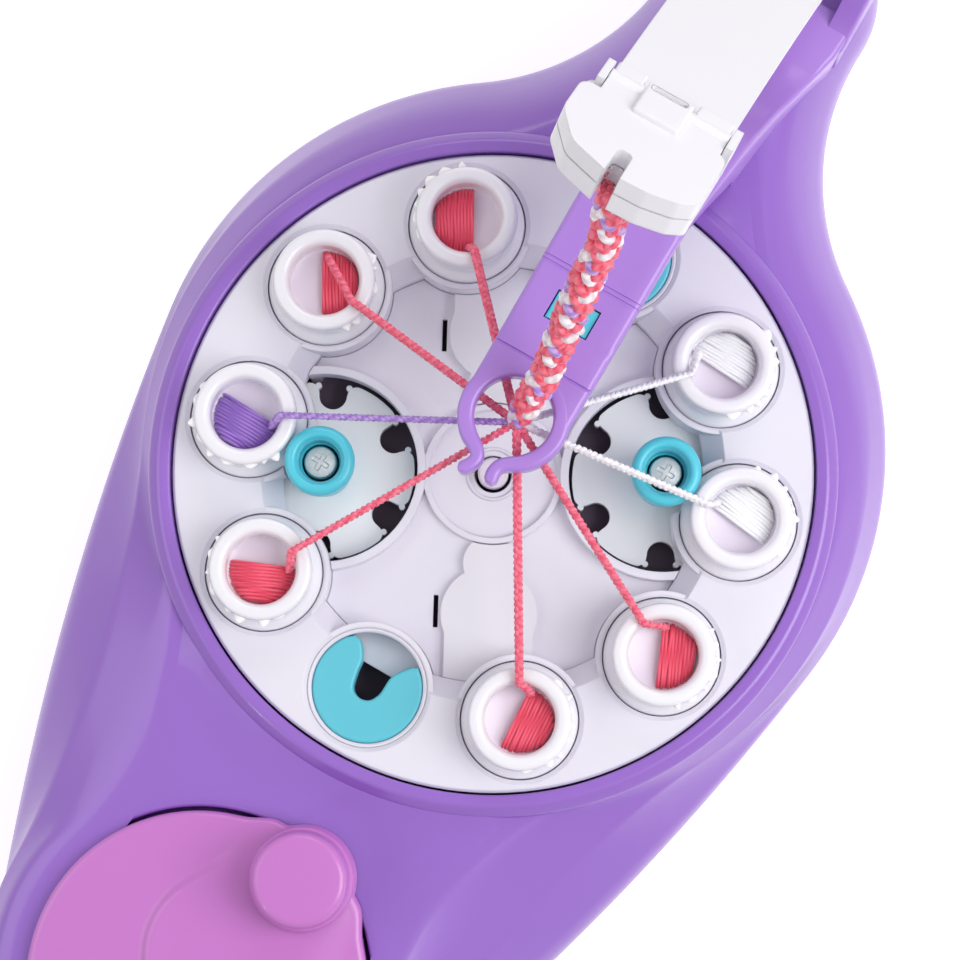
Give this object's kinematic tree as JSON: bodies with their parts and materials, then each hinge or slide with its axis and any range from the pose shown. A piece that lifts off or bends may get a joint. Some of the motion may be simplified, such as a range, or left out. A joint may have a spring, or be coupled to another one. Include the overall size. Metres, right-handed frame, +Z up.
{
  "type": "kumihimo braiding machine",
  "caption": "Toy braiding machine: hand crank, geared turntable of thread spools with star wheels, guide arm with an open ring and a take-up lever with a braid clip.",
  "frame": {"origin": "on the turntable's axis, on the underside of the middle rubber foot, at the level of the surface the machine stands on", "axes": "+Z up; +Y back along the machine towards the tail that carries the lever, -Y towards the crank; +X to the right seen from the crank"},
  "size_m": [0.1806, 0.3495, 0.1718],
  "materials": {
    "body_purple": "glossy",
    "crank_pink": "glossy",
    "table_white": "satin",
    "spool_white": "glossy",
    "wheel_grey": "satin",
    "teal_plastic": "glossy",
    "strap_white": "satin",
    "dark_plastic": "matt",
    "gear_plastic": "natural",
    "steel": "bright",
    "foot_rubber": "matt",
    "pink_yarn": "twisted yarn",
    "purple_yarn": "twisted yarn",
    "white_yarn": "twisted yarn",
    "mixed_yarn": "round braid of pink, white and lilac yarn"
  },
  "bodies": {
    "base": {"upper_shell": "body_purple", "base_tray": "dark_plastic", "housing_screws": "steel", "rubber_feet": "foot_rubber", "sun_post": "gear_plastic", "idler_axle": "gear_plastic", "crank_bush": "dark_plastic", "guide_arm": "body_purple", "arm_screws": "steel", "lever_pin": "steel", "fell_knot": "pink_yarn", "thread_a": "pink_yarn", "thread_b": "pink_yarn", "thread_c": "purple_yarn", "thread_d": "pink_yarn", "thread_e": "pink_yarn", "thread_f": "pink_yarn", "thread_g": "white_yarn", "thread_h": "white_yarn", "braid": "mixed_yarn"},
    "turntable": {"carrier_deck": "dark_plastic", "table_gear": "gear_plastic", "deck_screws": "steel", "pocket_ring": "table_white", "table_floor": "table_white", "cover_plate_front": "table_white", "cover_plate_rear": "table_white", "pocket_seat_front": "teal_plastic", "pocket_seat_rear": "teal_plastic", "spool_a": "spool_white", "spool_b": "spool_white", "spool_c": "spool_white", "spool_d": "spool_white", "spool_e": "spool_white", "spool_f": "spool_white", "spool_g": "spool_white", "spool_h": "spool_white", "pink_windings": "pink_yarn", "purple_windings": "purple_yarn", "white_windings": "white_yarn"},
    "right_star": {"star_wheel_right": "wheel_grey", "rotor_pinion_right": "gear_plastic", "rotor_cup_right": "teal_plastic", "cup_screw_right": "steel"},
    "left_star": {"star_wheel_left": "wheel_grey", "rotor_pinion_left": "gear_plastic", "rotor_cup_left": "teal_plastic", "cup_screw_left": "steel"},
    "crank": {"crank_disc": "crank_pink", "crank_shaft": "steel", "crank_gear": "gear_plastic", "knob_pin": "steel"},
    "grip": {"knob": "crank_pink", "knob_cap": "crank_pink"},
    "idler": {"idler_gear": "gear_plastic"},
    "lever": {"lever": "strap_white", "clip_base": "strap_white", "clip_pin": "steel"},
    "lid": {"clip_lid": "strap_white"},
    "latch": {"latch_button": "teal_plastic"}
  },
  "joints": [
    {"name": "crank_turn", "type": "hinge", "parent": "base", "child": "crank", "pos_m": [0, -0.1365, 0.048], "axis": [0, 0, 1], "continuous": true},
    {"name": "turntable_turn", "type": "hinge", "parent": "base", "child": "turntable", "pos_m": [0, 0, 0.048], "axis": [0, 0, 1], "continuous": true, "deforming": ["thread_a", "thread_b", "thread_c", "thread_d", "thread_e", "thread_f", "thread_g", "thread_h"]},
    {"name": "idler_turn", "type": "hinge", "parent": "base", "child": "idler", "pos_m": [0, -0.09, 0.0245], "axis": [0, 0, 1], "continuous": true},
    {"name": "right_star_turn", "type": "hinge", "parent": "turntable", "child": "right_star", "pos_m": [0.03525, 0.0189, 0.0395], "axis": [0, 0, 1], "continuous": true},
    {"name": "left_star_turn", "type": "hinge", "parent": "turntable", "child": "left_star", "pos_m": [-0.03525, -0.0189, 0.0395], "axis": [0, 0, 1], "continuous": true},
    {"name": "grip_turn", "type": "hinge", "parent": "crank", "child": "grip", "pos_m": [0.00937, -0.10382, 0.061], "axis": [0, 0, 1], "continuous": true},
    {"name": "lever_swing", "type": "hinge", "parent": "base", "child": "lever", "pos_m": [0, 0.145, 0.066], "axis": [1, 0, 0], "range_deg": [-35, 12], "deforming": ["braid"]},
    {"name": "clip_lid_swing", "type": "hinge", "parent": "lever", "child": "lid", "pos_m": [0, 0.07153, 0.15621], "axis": [1, 0, 0], "range_deg": [-75, 0]},
    {"name": "latch_press", "type": "slide", "parent": "base", "child": "latch", "axis": [0, 0, -1], "range_m": [0, 0.002], "stiffness_N_per_m": 400, "springref_m": -0.001}
  ],
  "couplings": [
    {"joint": "turntable_turn", "follows": "crank_turn", "ratio": 0.34091},
    {"joint": "idler_turn", "follows": "crank_turn", "ratio": -0.9375},
    {"joint": "right_star_turn", "follows": "crank_turn", "ratio": 0.56818},
    {"joint": "left_star_turn", "follows": "crank_turn", "ratio": 0.56818}
  ]
}
